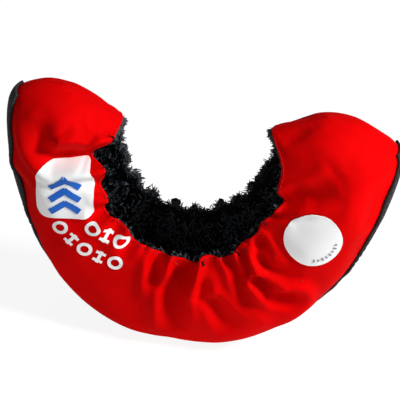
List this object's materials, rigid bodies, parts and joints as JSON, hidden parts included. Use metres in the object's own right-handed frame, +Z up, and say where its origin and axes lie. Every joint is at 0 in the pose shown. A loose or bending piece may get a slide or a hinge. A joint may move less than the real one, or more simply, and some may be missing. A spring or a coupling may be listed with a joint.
{
  "type": "ice skate blade soaker",
  "caption": "Soft skate-blade cover: smooth outer panels, plush lining, webbing keel and an elastic mouth between two closed end pockets.",
  "frame": {"origin": "on the floor, under the middle of the bounding box; the cover stands on the flat foot of its webbing", "axes": "+X along the blade, +Y away from the side with the badges, +Z up towards the skate, out of the mouth"},
  "size_m": [0.2229, 0.0669, 0.148],
  "materials": {
    "red_cloth": "smooth tightly woven cloth with a soft sheen",
    "black_plush": "shaggy looped pile",
    "black_elastic": "braided elastic, matte",
    "black_webbing": "ribbed woven webbing",
    "black_thread": "spun polyester thread",
    "red_thread": "spun polyester thread",
    "white_print": "soft printed film",
    "blue_print": "soft printed film",
    "grey_print": "printed ink"
  },
  "bodies": {
    "root": {"shell_near": "red_cloth", "shell_far": "red_cloth", "lining_near": "black_plush", "lining_far": "black_plush", "elastic_band": "black_elastic", "keel_webbing": "black_webbing", "keel_stitching_near": "black_thread", "keel_stitching_far": "black_thread", "hem_stitching_near": "red_thread", "hem_stitching_far": "red_thread", "bartack_left": "black_thread", "bartack_right": "black_thread", "square_badge": "white_print", "square_badge_chevrons": "blue_print", "round_badge": "white_print", "round_badge_ticks": "grey_print", "print_marks": "white_print"}
  },
  "joints": []
}
